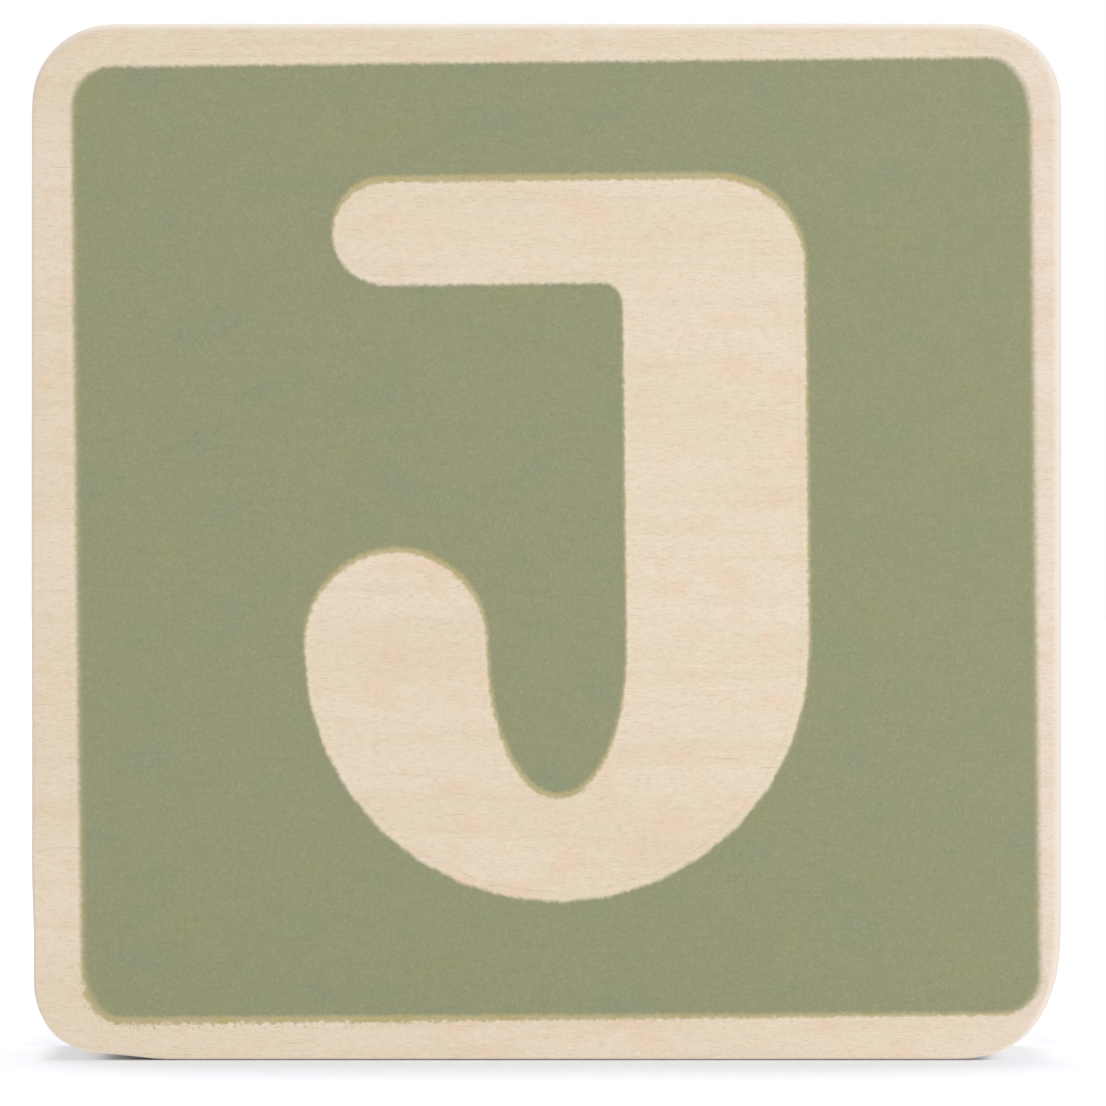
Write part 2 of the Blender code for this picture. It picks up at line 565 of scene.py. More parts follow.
def dress_shader(
    tree: Tree, shader: Sockets, colour: Socket, height: Socket, roughness: float, shine: float = 0.5
) -> None:
    """Sets a surface's colour, relief, roughness and shine.

    Args:
        tree: the material's tree.
        shader: the inputs of its Principled BSDF.
        colour: the base colour.
        height: the height of the relief in metres.
        roughness: the roughness all over the surface.
        shine: the specular level all over the surface.
    """
    tree.links.new(colour, shader["Base Color"])
    bump = add_node(tree, "ShaderNodeBump", {"Height": height, "Strength": 1.0, "Distance": 1.0})
    tree.links.new(bump, shader["Normal"])
    shader["Roughness"].default_value = roughness
    shader["Specular IOR Level"].default_value = shine


@dataclass(frozen=True)
class BasswoodPlywood:
    """Basswood plywood, rotary cut, glued crosswise, sanded fine and sealed with a matt varnish.

    To the eye it is a pale cream with soft bands along the grain, short fine flecks and a few warmer
    patches. The edges show the plies in turn as long grain and as darker end grain.
    """

    plies: int = 5
    ply_waver: float = 0.12 * MM
    waver_size: float = 6.0 * MM
    cream: str = "#F0DFC7"
    right_painted_highlight: str = "#000032"  # painted highlight: blue added on the right side so that it looks paler, as the key light on that side shows it
    right_highlight_span: Span = (32.0 * MM, 38.0 * MM)  # x over which the painted highlight sets in
    end_grain: str = "#CDB38C"
    end_strength: float = 0.55
    end_power: float = 6.0  # how fast it fades as the fibres turn from end to side
    # paler round-over: partly sanded wood that lost its varnish, partly a painted sheen of the white light
    # above
    sanded: str = "#F4EBE3"
    arris_wear_and_sheen: float = 0.6
    arris_span: Span = (0.99, 0.80)  # how far a surface faces the front or back as this wear and painted sheen sets in
    side_span: Span = (0.0, 0.3)  # and as it ends towards the sides
    bond: str = "#A98A60"
    bond_line: float = 0.07 * MM
    bond_strength: float = 0.6
    roughness: float = 0.6
    shine: float = 0.25
    patterns: tuple[Pattern, ...] = (
        # growth bands, far longer than they are wide
        Pattern(60.0 * MM, 7.0 * MM, "#E3D0B3", 0.32, 0.38, 0.70),
        Pattern(50.0 * MM, 5.0 * MM, "#F4E6D6", 0.36, 0.50, 0.74),
        # streaks within a band
        Pattern(14.0 * MM, 0.9 * MM, "#DFCAAB", 0.22, 0.46, 0.72, detail=1.0),
        # warm patches where the veneer has drawn in more varnish
        Pattern(3.0 * MM, 1.8 * MM, "#F0CFB2", 0.40, 0.55, 0.72, detail=1.0),
        # fine fibres, drawn about twice as coarse as they are so that they show
        Pattern(0.7 * MM, 0.13 * MM, "#CFBCA0", 0.33, 0.48, 0.76, detail=1.0, relief=-0.002 * MM),
        Pattern(0.8 * MM, 0.14 * MM, "#FBEDD8", 0.28, 0.50, 0.76, detail=1.0),
        # the sandpaper's fine tooth
        Pattern(0.15 * MM, 0.15 * MM, "#CFBCA0", 0.28, 0.48, 0.76, detail=1.0),
        # a few cut vessels, seen as dark hairlines
        Pattern(3.4 * MM, 0.15 * MM, "#B89D77", 0.45, 0.72, 0.82, detail=1.0),
    )

    def make(self, name: str, front: float, back: float, first: Grain) -> Material:
        """Makes the finish of one panel.

        Args:
            name: the material's name.
            front: y of the panel's front face.
            back: y of its back face.
            first: the grain of the front ply; each ply after it lies crosswise to the one before.

        Returns:
            The material.
        """
        made, shader = new_material(name)
        tree = made.node_tree
        place = object_place(tree)
        waver = noise_at(tree, place, self.waver_size)
        uneven = maths(tree, "MULTIPLY_ADD", waver, self.ply_waver, axes_of(tree, place)["Y"])
        half = self.ply_waver / 2
        share = ramp(tree, uneven, front + half, back + half)
        turns = [(ply / self.plies, (first.value + ply) % 2) for ply in range(self.plies)]
        upright = stepped(tree, share, turns)
        colour, height = self.lay_face(tree, place, upright)

        facing = add_node(tree, "ShaderNodeTexCoord", output="Normal")
        ways = {"Factor": upright, "A": (1.0, 0.0, 0.0), "B": (0.0, 0.0, 1.0)}
        grain = add_node(tree, "ShaderNodeMix", ways, data_type="VECTOR")
        end_on = vectors(tree, "DOT_PRODUCT", facing, grain)
        end_share = maths(tree, "POWER", end_on, self.end_power)
        darker = maths(tree, "MULTIPLY", end_share, self.end_strength, use_clamp=True)
        colour = blend(tree, darker, colour, self.end_grain)
        colour = self._pale_arris(tree, facing, colour)
        colour = blend(tree, self._bonds(tree, share, back - front), colour, self.bond)
        dress_shader(tree, shader, colour, height, self.roughness, self.shine)
        return made

    def lay_face(self, tree: Tree, place: Socket, upright: Socket | None = None) -> tuple[Socket, Socket]:
        """Lays the wood's patterns, with a painted highlight that makes the right side paler.

        Args:
            tree: the material's tree.
            place: the place on the car, in metres.
            upright: 1 where the grain runs along Z and 0 where it runs along X; None for X throughout.

        Returns:
            The colour, and the height of the relief in metres.
        """
        colour, height = lay_patterns(tree, place, self.cream, self.patterns, upright)
        # painted highlight: the right side paler, as the key light on that side shows it
        paler_share = ramp(tree, axes_of(tree, place)["X"], *self.right_highlight_span, smooth=True)
        return blend(tree, paler_share, colour, self.right_painted_highlight, blend_type="ADD"), height

    def _pale_arris(self, tree: Tree, facing: Socket, colour: Socket) -> Socket:
        """Makes the sanded round-over paler: partly where it has lost its varnish, partly a painted sheen
        of the white light above.

        Args:
            tree: the material's tree.
            facing: the surface's normal.
            colour: the colour of the wood.

        Returns:
            The colour with the paler arris.
        """
        straight = maths(tree, "ABSOLUTE", axes_of(tree, facing)["Y"])
        leaning = ramp(tree, straight, *self.arris_span, end=self.arris_wear_and_sheen)
        paler_share = maths(tree, "MULTIPLY", leaning, ramp(tree, straight, *self.side_span))
        # wear and painted sheen on the round-over
        return blend(tree, paler_share, colour, self.sanded)

    def _bonds(self, tree: Tree, share: Socket, thickness: float) -> Socket:
        """Gives the strength of the thin dark bond line between neighbouring plies."""
        half = self.bond_line / thickness / 2
        steps = [(0.0, 0.0)]
        for ply in range(1, self.plies):
            middle = ply / self.plies
            steps += [(middle - half, self.bond_strength), (middle + half, 0.0)]
        return stepped(tree, share, steps)


@dataclass(frozen=True)
class InkEdge:
    """The edge of an ink film, where it thins out over the wood.

    The film's mesh reaches past its edge and holds the distance to it, positive on the inked side, and
    whether the nearest edge is one of the field's own that faces sideways.
    """

    distance: str  # the attribute that holds the distance
    sharp: float = 0.22 * MM  # half the width of the fade
    soft: float = 0.48 * MM  # and on the field's upright edges, which the squeegee smeared
    wander: float = 0.09 * MM  # how far the edge strays
    wander_size: float = 0.35 * MM
    wander_range: Span = (0.25, 0.75)  # the noise that leads it keeps to this
    bottom_span: Span = (8.0 * MM, 5.0 * MM)  # z over which the bottom begins
    lean: tuple[float, float] = (0.0, 0.0)  # how much further it reaches at the bottom's left and right end
    lean_ends: Span = (-35.0 * MM, 35.0 * MM)  # x of these ends
    foot: float = 0.0  # how far it falls short at the foot of the left side
    foot_zone: Zone = (("X", -33.0 * MM, -35.0 * MM), ("Z", 24.0 * MM, 12.0 * MM))
    bar: float = 0.0  # and along the top of the letter's bar
    bar_zone: Zone = (
        ("X", -31.0 * MM, -29.0 * MM),
        ("X", 31.0 * MM, 29.0 * MM),
        ("Z", 65.0 * MM, 67.0 * MM),
        ("Z", 73.0 * MM, 71.0 * MM),
    )
    torn: float = 0.0  # how far it strays besides at the lower left, where the screen lifted badly
    torn_span: Span = (12.0 * MM, -22.0 * MM)  # x over which the lower left begins
    specks: float = 0.0  # strength of the stray specks there
    speck_size: float = 0.30 * MM
    speck_range: Span = (0.60, 0.70)  # noise over which a speck begins
    speck_reach: Span = (-0.65 * MM, -0.25 * MM)  # distance over which they begin, outside the edge

    def cover(self, tree: Tree, place: Socket) -> Socket:
        """Gives the share of the ink that covers what is beneath.

        Args:
            tree: the material's tree.
            place: the place on the car, in metres.

        Returns:
            The share, from 0 to 1.
        """
        distance = add_node(tree, "ShaderNodeAttribute", output="Fac", attribute_name=self.distance)
        axes = axes_of(tree, place)
        downwards = ramp(tree, axes["Z"], *self.bottom_span)
        leftwards = ramp(tree, axes["X"], *self.torn_span, smooth=True)
        lifted = maths(tree, "MULTIPLY", leftwards, downwards)
        reached = self._reached(tree, axes, distance, downwards)
        stray = maths(tree, "MULTIPLY_ADD", lifted, self.torn, self.wander)
        noise = noise_at(tree, place, self.wander_size, detail=2.0)
        centred = ramp(tree, noise, *self.wander_range, start=-1.0)
        strayed = maths(tree, "MULTIPLY_ADD", centred, stray, reached)
        sideways = add_node(tree, "ShaderNodeAttribute", output="Fac", attribute_name="edge_side")
        half = ramp(tree, sideways, 0.0, 1.0, start=self.sharp, end=self.soft)
        outside = maths(tree, "MULTIPLY", half, -1.0)
        share = ramp(tree, strayed, outside, half, smooth=True)
        if not self.specks:
            return share
        spots = ramp(tree, noise_at(tree, place, self.speck_size), *self.speck_range, end=self.specks)
        close = maths(tree, "MULTIPLY", ramp(tree, distance, *self.speck_reach), lifted)
        stray_specks = maths(tree, "MULTIPLY", spots, close)
        return maths(tree, "MAXIMUM", share, stray_specks)

    def _reached(self, tree: Tree, axes: Sockets, distance: Socket, downwards: Socket) -> Socket:
        """Moves the edge along the bottom, at the foot of the left side and above the letter.

        Args:
            tree: the material's tree.
            axes: the place on the car along each axis.
            distance: the distance to the edge.
            downwards: 1 along the bottom.

        Returns:
            The distance to the edge as it came out.
        """
        left, right = self.lean
        leaning = ramp(tree, axes["X"], *self.lean_ends, start=left, end=right)
        reached = maths(tree, "MULTIPLY_ADD", downwards, leaning, distance)
        for short, zone in ((self.foot, self.foot_zone), (self.bar, self.bar_zone)):
            reached = maths(tree, "ADD", zone_share(tree, axes, zone, -short), reached)
        return reached


@dataclass(frozen=True)
class ScreenInk:
    """Water-based screen ink, wiped on thinly and dried matt on sanded wood.

    To the eye it is an even chalky colour with a fine mesh-like speckle, soft clouds where the ink lies
    thicker, and a trace of the grain beneath. Its edge is soft, because the ink creeps into the wood.
    """

    colour: str
    patterns: tuple[Pattern, ...]
    edge: InkEdge

    def lay(self, tree: Tree, place: Socket, under: Socket) -> Socket:
        """Lays the ink over what is beneath.

        Args:
            tree: the material's tree.
            place: the place on the car, in metres.
            under: the colour of what is beneath.

        Returns:
            The colour with the ink.
        """
        colour, _ = lay_patterns(tree, place, self.colour, self.patterns)
        cover = self.edge.cover(tree, place)
        return blend(tree, cover, under, colour)


OCHRE_INK = ScreenInk(
    "#C1B489",
    (
        # patches where the ink is stronger
        Pattern(2.5 * MM, 1.5 * MM, "#BBAA6E", 0.55, 0.45, 0.70),
        # speckle that the screen's mesh leaves
        Pattern(0.20 * MM, 0.18 * MM, "#A69965", 0.35, 0.52, 0.75, detail=1.0),
    ),
    InkEdge(
        "ochre_edge",
        sharp=0.16 * MM,
        soft=0.24 * MM,
        wander=0.14 * MM,
        wander_size=0.45 * MM,
        lean=(-0.05 * MM, -0.05 * MM),
        torn=0.14 * MM,
        specks=0.75,
    ),
)

SAGE_INK = ScreenInk(
    "#979977",
    (
        # clouds where the ink lies thicker or thinner
        Pattern(6.0 * MM, 4.0 * MM, "#9E9A72", 0.45, 0.50, 0.74, detail=3.0),
        Pattern(6.0 * MM, 4.0 * MM, "#8B987B", 0.45, 0.50, 0.74, detail=3.0),
        # the grain beneath
        Pattern(2.4 * MM, 0.20 * MM, "#888B69", 0.20, 0.50, 0.76, detail=1.0),
        # speckle that the screen's mesh leaves
        Pattern(0.20 * MM, 0.20 * MM, "#838563", 0.31, 0.48, 0.76, detail=1.0),
        Pattern(0.20 * MM, 0.20 * MM, "#ACAE8C", 0.31, 0.48, 0.76, detail=1.0),
    ),
    InkEdge("green_edge", lean=(-0.24 * MM, 0.12 * MM), foot=0.12 * MM, bar=0.11 * MM),
)


@dataclass(frozen=True)
class PlainFinish:
    """A finish that is alike all over its piece: a colour with patterns over it."""

    colour: str
    roughness: float
    patterns: tuple[Pattern, ...]
    metallic: float = 0.0

    def make(self, name: str) -> Material:
        """Makes the material of this name."""
        made, shader = new_material(name)
        tree = made.node_tree
        colour, height = lay_patterns(tree, object_place(tree), self.colour, self.patterns)
        dress_shader(tree, shader, colour, height, self.roughness)
        shader["Metallic"].default_value = self.metallic
        return made


@dataclass(frozen=True)
class WoodGlue(PlainFinish):
    """White wood glue, squeezed thin, dried and sanded flush: a tan line with darker specks of dust."""

    colour: str = "#C4A679"
    roughness: float = 0.6
    patterns: tuple[Pattern, ...] = (
        Pattern(3.0 * MM, 0.5 * MM, "#A98B60", 0.70, 0.42, 0.68),
        Pattern(0.3 * MM, 0.3 * MM, "#8E7350", 0.50, 0.58, 0.72, relief=-0.005 * MM),
    )


@dataclass(frozen=True)
class NickelPlate(PlainFinish):
    """Nickel plated on a sintered magnet: a soft grey shine with an uneven, faintly grainy surface."""

    colour: str = "#C9C8C4"
    roughness: float = 0.25
    patterns: tuple[Pattern, ...] = (
        Pattern(2.0 * MM, 2.0 * MM, "#BDBBB4", 0.60, 0.45, 0.70),
        Pattern(0.2 * MM, 0.2 * MM, "#A9A7A1", 0.40, 0.55, 0.72, relief=0.003 * MM),
    )
    metallic: float = 1.0


@dataclass
class TileBoard:
    """The board of the car: three plywood panels and the glue lines that bond them."""

    nodes: dict[str, Piece]
    wood: BasswoodPlywood = BasswoodPlywood()
    glue: WoodGlue = WoodGlue()
    point_spacing: float = 0.35 * MM
    smoothing: int = 6
    sanding: float = 0.04 * MM  # how far the hand-sanded outline wanders inwards
    sanding_span: float = 28.0 * MM
    rubbed: tuple[WornSpot, ...] = (
        WornSpot("Bottom Rub", 5.8 * MM, 0.0, 0.38 * MM, 5.1 * MM),
        WornSpot("Left Rub", 0.0, 8.5 * MM, 0.16 * MM, 7.0 * MM),
        WornSpot("Right Rub", 79.2 * MM, 5.4 * MM, 0.24 * MM, 5.5 * MM),
    )
    arris: float = 0.8 * MM
    least_arris: float = 0.35  # the share of the arris that the left side has
    base_arris: float = 0.25  # the share that the bottom has
    worn_side: tuple[float, float, float] = (0.6, 0.8, 0.0)  # in the drawing: top and right
    worn_span: Span = (-0.3, 0.3)  # how far an edge faces that side as its arris grows to the full one
    base_span: Span = (-0.5, -0.9)  # how far it faces upwards as its arris shrinks to the bottom's
    wave_range: Span = (0.3, 0.7)  # the noise that leads the sanding keeps to this
    glue_recess: float = 0.05 * MM

    def build(self) -> list[Piece]:
        """Builds the panels and the glue lines.

        Returns:
            The pieces, from the printed side to the plain one.
        """
        tree = self._sheet_tree()
        front = self._panel(tree, "front_panel", Grain.ACROSS, front_arris=True)
        core = self._panel(tree, "core_panel", Grain.UPRIGHT)
        back = self._panel(tree, "back_panel", Grain.ACROSS, back_arris=True)
        glue = self.glue.make("wood_glue")
        front_line = self._glue_line(tree, "front_glue_line", "front_panel", "core_panel", glue)
        back_line = self._glue_line(tree, "back_glue_line", "core_panel", "back_panel", glue)
        return [front, front_line, core, back_line, back]

    def _sheet_tree(self) -> Tree:
        """Builds the tree that cuts a panel, sands its outline by hand and marks its arrises."""
        arrises = ("Front Arris", "Back Arris", "Least Arris", "Base Arris")
        sizes = dict.fromkeys(("Recess", "Sanding", "Sanding Span", *arrises), "NodeSocketFloat")
        tree, given = new_shape_tree("sanded_sheet", sizes, self.rubbed)
        curve, outward = even_outline(tree, given)
        waves = self._waves(tree, given["Sanding Span"])
        inset = maths(tree, "MULTIPLY_ADD", waves, given["Sanding"], given["Recess"])
        for spot in self.rubbed:
            inset = spot.add_to(tree, given, inset)
        inwards = maths(tree, "MULTIPLY", inset, -1.0)
        sanded = shift_outline(tree, curve, outward, inwards)
        flat = add_node(tree, "GeometryNodeFillCurve", {"Curve": sanded}, mode="NGONS")
        sheet = thicken(tree, given, flat)
        marked = store(tree, sheet, "bevel_weight_edge", self._arris_share(tree, given), "EDGE")
        end_shape_tree(tree, given, marked)
        return tree

    def _waves(self, tree: Tree, span: Socket) -> Socket:
        """Adds slow noise from 0 to 1 with waves of the given span."""
        scale = maths(tree, "DIVIDE", 1.0, span)
        noise = add_node(tree, "ShaderNodeTexNoise", {"Scale": scale, "Detail": 1.0})
        return ramp(tree, noise, *self.wave_range)

    def _arris_share(self, tree: Tree, given: Sockets) -> Socket:
        """Gives the share of the arris that each of a sheet's edges is rounded to.

        Args:
            tree: the sheet tree.
            given: its inputs, with the levels of both faces and the arris shares among them.

        Returns:
            The share, 0 on edges that stay square.
        """
        level = axes_of(tree, add_node(tree, "GeometryNodeInputPosition"))["Z"]
        rounded: Any = 0.0
        for side in ("Front", "Back"):
            here = maths(tree, "COMPARE", level, given[side], WELD)
            rounded = maths(tree, "MULTIPLY_ADD", here, given[f"{side} Arris"], rounded)
        facing = add_node(tree, "GeometryNodeInputNormal", output="Normal")
        towards = vectors(tree, "DOT_PRODUCT", facing, self.worn_side)
        kept = ramp(tree, towards, *self.worn_span, start=given["Least Arris"], smooth=True)
        upwards = axes_of(tree, facing)["Y"]
        radius = ramp(tree, upwards, *self.base_span, start=kept, end=given["Base Arris"], smooth=True)
        return maths(tree, "MULTIPLY", rounded, radius)

    def _values(self) -> dict[str, Any]:
        """Gives the sheet tree's inputs that all sheets share."""
        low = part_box("core_panel")[0]
        values = {
            "Point Spacing": self.point_spacing,
            "Smoothing": self.smoothing,
            "Sanding": self.sanding,
            "Sanding Span": self.sanding_span,
            "Least Arris": self.least_arris,
            "Base Arris": self.base_arris,
        }
        for spot in self.rubbed:
            values.update(spot.values(low))
        return values

    def _panel(
        self,
        tree: Tree,
        node: str,
        grain: Grain,
        front_arris: bool = False,
        back_arris: bool = False,
    ) -> Piece:
        """Builds one plywood panel in the place of its CAD node.

        Args:
            tree: the sheet tree.
            node: the CAD node that the panel stands for.
            grain: the grain of its front ply.
            front_arris: whether its front outline is rounded over.
            back_arris: whether its back outline is.

        Returns:
            The panel.
        """
        low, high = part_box(node)
        values = {
            **self._values(),
            "Front": -low.y,
            "Back": -high.y,
            "Recess": 0.0,
            "Front Arris": float(front_arris),
            "Back Arris": float(back_arris),
            "Finish": self.wood.make(f"basswood_{node}", low.y, high.y, grain),
        }
        outlines = front_outlines(self.nodes["core_panel"])
        if node != "core_panel":
            outlines = outlines[:1]  # only the core has pockets
        arris = self.arris if front_arris or back_arris else 0.0
        piece = make_piece(f"{node}_board", outlines, tree, values, arris)
        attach(piece, BODY)
        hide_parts(node)
        return piece

    def _glue_line(self, tree: Tree, name: str, before: str, behind: str, finish: Material) -> Piece:
        """Fills the gap between two panels with glue, a hair short of their outline.

        Args:
            tree: the sheet tree.
            name: the piece's name.
            before: the CAD node in front of the gap.
            behind: the CAD node behind it.
            finish: the glue's material.

        Returns:
            The glue line.
        """
        values = {
            **self._values(),
            "Front": -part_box(before)[1].y,
            "Back": -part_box(behind)[0].y,
            "Recess": self.glue_recess,
            "Front Arris": 0.0,
            "Back Arris": 0.0,
            "Finish": finish,
        }
        outline = front_outlines(self.nodes["core_panel"])[:1]
        piece = make_piece(name, outline, tree, values)
        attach(piece, BODY)
        return piece


@dataclass
class PrintedFace:
    """The print on the front panel: an ochre pass and a green pass over it, with the letter left open."""

    nodes: dict[str, Piece]
    wood: BasswoodPlywood = BasswoodPlywood()
    point_spacing: float = 0.15 * MM
    smoothing: int = 4
    film: float = 0.008 * MM
    gap: float = 0.002 * MM  # between a film and what it lies on
    clipped: tuple[WornSpot, ...] = (
        WornSpot("Top Right Clip", 73.6 * MM, 73.2 * MM, 0.42 * MM, 3.4 * MM),
        WornSpot("Bottom Left Clip", 1.0 * MM, 1.6 * MM, 0.20 * MM, 3.0 * MM),
    )
    ochre_feather: float = 0.75 * MM  # how far a film's mesh reaches past its edge and back inside
    green_feather: float = 0.68 * MM
    rail: float = 1.0 * MM  # distances are measured from a line this far outside an edge
    letter_reach: tuple[float, float, float] = (28.0 * MM, 33.0 * MM, 1.0)  # half a box round the letter
    letter_creep: float = 0.13 * MM  # how far the ochre creeps past the letter's upright edges

    def build(self) -> list[Piece]:
        """Builds both ink films on the front panel's face.

        Returns:
            The ochre film and the green film.
        """
        tree = self._film_tree()
        wood = -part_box("front_panel")[0].y
        ochre_corner, green_corner = (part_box(f"{name}_ink_pass")[0] for name in ("ochre", "green"))
        shift = ochre_corner - green_corner
        ochre = self._film(
            tree,
            "ochre",
            (OCHRE_INK,),
            wood + self.gap,
            {"Feather": self.ochre_feather, "Ochre Shift": (0.0, 0.0, 0.0)},
        )
        green = self._film(
            tree,
            "green",
            (OCHRE_INK, SAGE_INK),
            wood + 2 * self.gap + self.film,
            {"Feather": self.green_feather, "Ochre Shift": (shift.x, shift.z, 0.0)},
        )
        return [ochre, green]

    def _film_tree(self) -> Tree:
        """Builds the tree that lays an ink film and notes the distance to the edge of each ink."""
        sizes = {
            **dict.fromkeys(("Feather", "Rail", "Letter Creep"), "NodeSocketFloat"),
            **dict.fromkeys(("Ochre Shift", "Field Middle"), "NodeSocketVector"),
            "Edge Name": "NodeSocketString",
        }
        tree, given = new_shape_tree("ink_film", sizes, self.clipped)
        curve, outward = even_outline(tree, given)
        clip: Any = 0.0
        for spot in self.clipped:
            clip = spot.add_to(tree, given, clip)
        inwards = maths(tree, "MULTIPLY", clip, -1.0)
        curve = shift_outline(tree, curve, outward, inwards)
        flat = self._feathered(tree, curve, outward, given["Feather"])
        rail = shift_outline(tree, curve, outward, given["Rail"])
        for name, shift, creep in (
            (given["Edge Name"], (0.0, 0.0, 0.0), 0.0),
            ("ochre_edge", given["Ochre Shift"], given["Letter Creep"]),
        ):
            moved = add_node(tree, "GeometryNodeTransform", {"Geometry": rail, "Translation": shift})
            distance, letter_side, field_side = self._nearest_edge(tree, given, moved)
            crept = maths(tree, "MULTIPLY_ADD", letter_side, creep, distance)
            flat = store(tree, flat, name, crept)
        flat = store(tree, flat, "edge_side", field_side)
        end_shape_tree(tree, given, thicken(tree, given, flat))
        return tree

    def _feathered(self, tree: Tree, curve: Socket, outward: Socket, feather: Socket) -> Socket:
        """Fills an outline with a mesh that has a rim of its own along the edge.

        Args:
            tree: the film tree.
            curve: the outline.
            outward: the outward direction at each of its points.
            feather: how far the rim reaches past the outline, and how far back inside.

        Returns:
            The flat mesh.
        """
        inwards = maths(tree, "MULTIPLY", feather, -1.0)
        outer = shift_outline(tree, curve, outward, feather)
        inner = shift_outline(tree, curve, outward, inwards)
        sides = add_node(tree, "GeometryNodeJoinGeometry", {"Geometry": [outer, inner]})
        rim = add_node(tree, "GeometryNodeFillCurve", {"Curve": sides}, mode="TRIANGLES")
        middle = add_node(tree, "GeometryNodeFillCurve", {"Curve": inner}, mode="TRIANGLES")
        parts = add_node(tree, "GeometryNodeJoinGeometry", {"Geometry": [rim, middle]})
        return add_node(tree, "GeometryNodeMergeByDistance", {"Geometry": parts, "Distance": WELD})

    def _nearest_edge(self, tree: Tree, given: Sockets, rail: Socket) -> tuple[Socket, Socket, Socket]:
        """Finds the nearest edge of an ink from each point of a film.

        Args:
            tree: the film tree.
            given: its inputs, with "Rail" and "Field Middle" among them.
            rail: the line that runs outside that ink's edges.

        Returns:
            The distance to the edge, and how far it faces sideways: first for the letter's edges, 0 on
            the field's own, and then the other way round.
        """
        line = add_node(tree, "GeometryNodeCurveToMesh", {"Curve": rail})
        nearest = add_node(
            tree, "GeometryNodeProximity", {"Geometry": line}, "Position", target_element="EDGES"
        )
        distance = maths(tree, "SUBTRACT", nearest.node.outputs["Distance"], given["Rail"])
        towards = vectors(tree, "SUBTRACT", nearest, add_node(tree, "GeometryNodeInputPosition"))
        facing = vectors(tree, "NORMALIZE", towards)
        sideways = maths(tree, "ABSOLUTE", axes_of(tree, facing)["X"])

        offset = vectors(tree, "SUBTRACT", nearest, given["Field Middle"])
        folded = vectors(tree, "ABSOLUTE", offset)
        axes = axes_of(tree, vectors(tree, "DIVIDE", folded, self.letter_reach))
        most = maths(tree, "MAXIMUM", axes["X"], axes["Y"])
        at_letter = maths(tree, "LESS_THAN", most, 1.0)
        letter_side = maths(tree, "MULTIPLY", sideways, at_letter)
        return distance, letter_side, maths(tree, "SUBTRACT", sideways, letter_side)

    def _film(
        self, tree: Tree, ink: str, layers: Sequence[ScreenInk], back: float, edge: dict[str, Any]
    ) -> Piece:
        """Lays one ink film in the place of its CAD node.

        Args:
            tree: the film tree.
            ink: the ink's name.
            layers: the inks on the wood there, from the lowest to this one.
            back: the level of the film's underside in the drawing.
            edge: how far the film reaches past its edge, and where the ochre's edge lies from it.

        Returns:
            The film.
        """
        node = f"{ink}_ink_pass"
        slot = f"{ink}_ink"
        low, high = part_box(node)
        values = {
            "Point Spacing": self.point_spacing,
            "Smoothing": self.smoothing,
            "Front": back + self.film,
            "Back": back,
            "Rail": self.rail,
            "Edge Name": f"{ink}_edge",
            "Field Middle": ((low.x + high.x) / 2, (low.z + high.z) / 2, 0.0),
            "Letter Creep": self.letter_creep,
            "Finish": self._finish(slot, layers),
            **edge,
        }
        for spot in self.clipped:
            values.update(spot.values(low))
        piece = make_piece(f"{slot}_film", front_outlines(self.nodes[node]), tree, values)
        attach(piece, BODY)
        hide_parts(node)
        return piece

    def _finish(self, name: str, layers: Sequence[ScreenInk]) -> Material:
        """Makes a film's material: the wood's face with inks over it.

        Args:
            name: the material's name.
            layers: the inks, from the lowest one.

        Returns:
            The material.
        """
        made, shader = new_material(name)
        tree = made.node_tree
        axes = axes_of(tree, object_place(tree))
        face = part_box("front_panel")[0].y
        on_wood = add_node(tree, "ShaderNodeCombineXYZ", {"X": axes["X"], "Y": face, "Z": axes["Z"]})
        colour, height = self.wood.lay_face(tree, on_wood)
        for ink in layers:
            colour = ink.lay(tree, on_wood, colour)
        dress_shader(tree, shader, colour, height, self.wood.roughness, self.wood.shine)
        return made


@dataclass
class CouplingMagnets:
    """The four bar magnets in the core panel; their solids are right as they are."""

    nodes: dict[str, Piece]
    plate: NickelPlate = NickelPlate()

    def dress(self) -> list[Piece]:
        """Gives the magnets their nickel plate and returns them."""
        nickel = self.plate.make("nickel_plate")
        magnets = [self.nodes[name] for name in sorted(self.nodes) if name.startswith("magnet_")]
        for magnet in magnets:
            magnet.data.materials.clear()
            magnet.data.materials.append(nickel)
        return magnets


